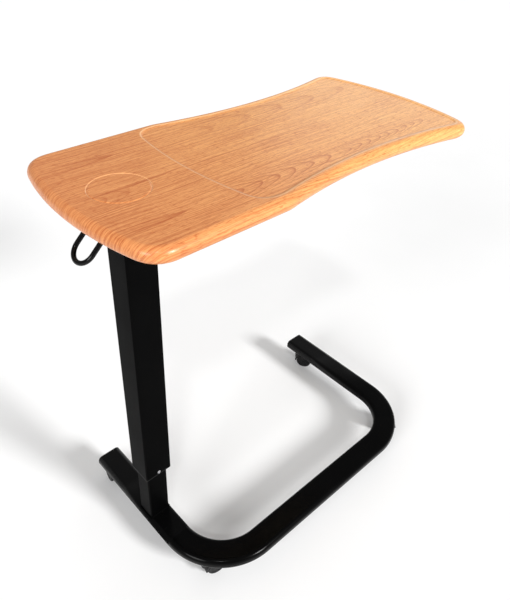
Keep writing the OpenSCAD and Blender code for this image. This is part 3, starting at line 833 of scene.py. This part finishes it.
def all_screws(metal):
    """The two screws through the glide and the column, and those under the tabletop's straps."""
    low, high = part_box("glide_screws")
    z, r = (low.z + high.z) / 2, (high.z - low.z) / 2
    head = (high.y - low.y) / 2 - (tube_high.y - tube_low.y) / 2
    places = [Vector((column.x, column.y + s * (tube_high.y - tube_low.y) / 2, z)) for s in (-1, 1)]
    screws("glide_screw_heads", "glide_screws", places, [Vector((0, s, 0)) for s in (-1, 1)],
           r, head, GLIDE_SHANK, metal)
    low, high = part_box("tabletop_screws")
    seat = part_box("strap_left")[0].z
    places = []
    for strap in ("strap_left", "strap_middle", "strap_right"):
        middle = (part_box(strap)[0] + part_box(strap)[1]) / 2
        places += [Vector((middle.x, middle.y + y, seat)) for y in SCREW_OFFSETS]
    r = (high.y - low.y) / 2 - SCREW_OFFSETS[-1]
    screws("tabletop_screw_heads", "tabletop_screws", places, [Vector((0, 0, -1))] * len(places),
           r, seat - low.z, TABLETOP_SHANK, metal)


# ---- The whole object ----

def build():
    """Makes every finish and every new piece of the object."""
    # The paints' numbers are tone, roughness, orange peel, refraction index and paleness of edges;
    # the plastics' are tone, roughness and grain; the steels' are darkest and brightest, roughness
    column_black = black_paint("column_black", 0.0013, 0.42, 0.40, 1.07)
    bracket_black = black_paint("bracket_black", 0.004, 0.50, 0.50, 1.2)
    base_black = black_paint("base_black", 0.0012, 0.17, 0.16, 1.16)
    weld_black = black_paint("weld_black", 0.0015, 0.55, 0.10, 1.05, 0)
    loop_black = black_paint("loop_black", 0.0015, 0.12, 0.10, 1.30, 0.1)
    spring_black = black_paint("spring_black", 0.006, 0.35, 0.15, 1.3)
    cap_black = black_plastic("cap_black", 0.006, 0.45, 0.12)
    glide_black = black_plastic("glide_black", 0.007, 0.5, 0.15)
    hood_black = black_plastic("hood_black", 0.004, 0.42, 0.12)
    wheel_black = black_plastic("wheel_black", 0.005, 0.38, 0.08)
    oxide = plated_steel("black_oxide", 0.012, 0.030, 0.34)
    zinc = plated_steel("zinc", 0.42, 0.62, 0.32)
    chrome = plated_steel("chrome", 0.62, 0.75, 0.12)

    tabletop()
    base_tube(base_black)
    weld_bead(weld_black)
    release_loop(loop_black)
    all_screws(zinc)

    finishes = (
        (column_black, "column_paint", 0.0004, ("upper_column", "lower_column")),
        (bracket_black, "bracket_paint", 0.0006, ("strap_left", "strap_middle", "strap_right",
                                                  "support_channel", "rod_bracket")),
        (bracket_black, "bracket_paint", 0.0004, ("spring_seat", "lever_barrel", "lever_tongue")),
        (spring_black, "spring_paint", 0.0005, ("spring_cylinder",)),
        (glide_black, "glide_plastic", 0.0003, ("lower_glide", "upper_glide", "rod_guide",
                                                "spring_piston")),
        (cap_black, "end_cap_plastic", 0.0009, ("end_cap_left", "end_cap_right")),
        (chrome, "chrome_rod", 0.0003, ("spring_rod",)),
        (zinc, "zinc_steel", 0.0003, ("spring_bolt", "rod_nuts", "release_pin", "pivot_pin",
                                      "pivot_clips")),
    )
    for material, slot, bevel, nodes in finishes:
        for node in nodes:
            refined(node, material, slot, bevel)
    for i in (1, 2, 3, 4):
        refined(f"caster_socket_{i}", hood_black, "caster_hood_plastic", 0.0003)
        refined(f"caster_hood_{i}", hood_black, "caster_hood_plastic", 0.0009, 3)
        refined(f"caster_stem_{i}", zinc, "zinc_steel", 0.0003)
        refined(f"caster_axle_{i}", oxide, "dark_steel", 0.0003)
        for side in "ab":
            refined(f"caster_wheel_{i}{side}", wheel_black, "caster_wheel_nylon", 0.0005, 3)


# ---- Studio ----

FLOOR_SIZE = 30
# Direction towards each light, its strength and the angle it spans in degrees
SUNS = {
    "key_light": ((0.20, -0.86, 0.46), 3.1, 13),
    "corner_light": ((-0.42, -0.46, 0.78), 0.35, 5),
    "left_light": ((-0.84, -0.20, 0.36), 1.65, 24),
    "back_light": ((0.84, 0.46, 0.30), 0.22, 34),
}
WORLD_LIGHT = 0.34


def floor():
    """A plain pale floor with a faint mottle."""
    p = Paint("studio_floor")
    cloud = p.noise(p.object_place(), 2.0, 2)
    p.finish(Base_Color=p.mix(p.remap(cloud, 0.3, 0.7), (0.92, 0.92, 0.92, 1), (0.94, 0.94, 0.94, 1)),
             Roughness=0.9, Specular_IOR_Level=0.1)
    bpy.ops.mesh.primitive_plane_add(size=FLOOR_SIZE)
    ground = bpy.context.object
    ground.name = "studio_floor"
    ground.data.materials.append(p.material)


def sun(name, towards, strength, softness):
    """Soft light from far away, whose softness is the angle it spans in degrees."""
    light = bpy.data.lights.new(name, "SUN")
    light.energy, light.angle = strength, math.radians(softness)
    lamp = bpy.data.objects.new(name, light)
    lamp.rotation_euler = Vector(towards).to_track_quat("Z", "Y").to_euler()
    bpy.context.scene.collection.objects.link(lamp)


def backdrop():
    """Soft light from all round, with a white backdrop behind the floor."""
    world = bpy.data.worlds.new("studio_world")
    world.use_nodes = True
    tree = world.node_tree
    light = tree.nodes["Background"]
    light.inputs["Color"].default_value = (1, 1, 1, 1)
    seen = tree.nodes.new("ShaderNodeLightPath").outputs["Is Camera Ray"]
    strength = tree.nodes.new("ShaderNodeMapRange")
    strength.inputs["To Min"].default_value = WORLD_LIGHT
    tree.links.new(seen, strength.inputs["Value"])
    tree.links.new(strength.outputs[0], light.inputs["Strength"])
    bpy.context.scene.world = world


def studio():
    """The floor, the backdrop and the lights."""
    floor()
    backdrop()
    bpy.context.scene.view_settings.view_transform = "Standard"
    for name, row in SUNS.items():
        sun(name, *row)


# Camera at the photograph's viewing angle: place in metres, heading, downward pitch and roll in
# degrees, lens and sensor in mm, and shift in shares of the picture's longer side
CAMERA_PLACE = (-0.6956, -0.6879, 1.2513)
HEADING, PITCH, ROLL = 46.14, 34.03, 2.34
LENS, SENSOR = 36.966, 36.0
SHIFT_X, SHIFT_Y = 0.005, -0.06483


def camera():
    """The camera that looks as the photograph's did."""
    heading, pitch, roll = (math.radians(v) for v in (HEADING, PITCH, ROLL))
    level = Vector((math.cos(heading), math.sin(heading), 0))
    forward = math.cos(pitch) * level - math.sin(pitch) * Vector((0, 0, 1))
    flat_right = level.cross(Vector((0, 0, 1)))
    flat_up = flat_right.cross(forward)
    right = math.cos(roll) * flat_right + math.sin(roll) * flat_up
    up = math.cos(roll) * flat_up - math.sin(roll) * flat_right
    data = bpy.data.cameras.new("photo_camera")
    data.sensor_width, data.sensor_fit = SENSOR, "AUTO"
    data.lens = LENS
    data.shift_x, data.shift_y = SHIFT_X, SHIFT_Y
    data.clip_start, data.clip_end = 0.05, 60
    eye = bpy.data.objects.new("photo_camera", data)
    turn = Matrix((right, up, -forward)).transposed().to_4x4()
    eye.matrix_world = Matrix.Translation(CAMERA_PLACE) @ turn
    bpy.context.scene.collection.objects.link(eye)
    bpy.context.scene.camera = eye


build()
studio()
camera()
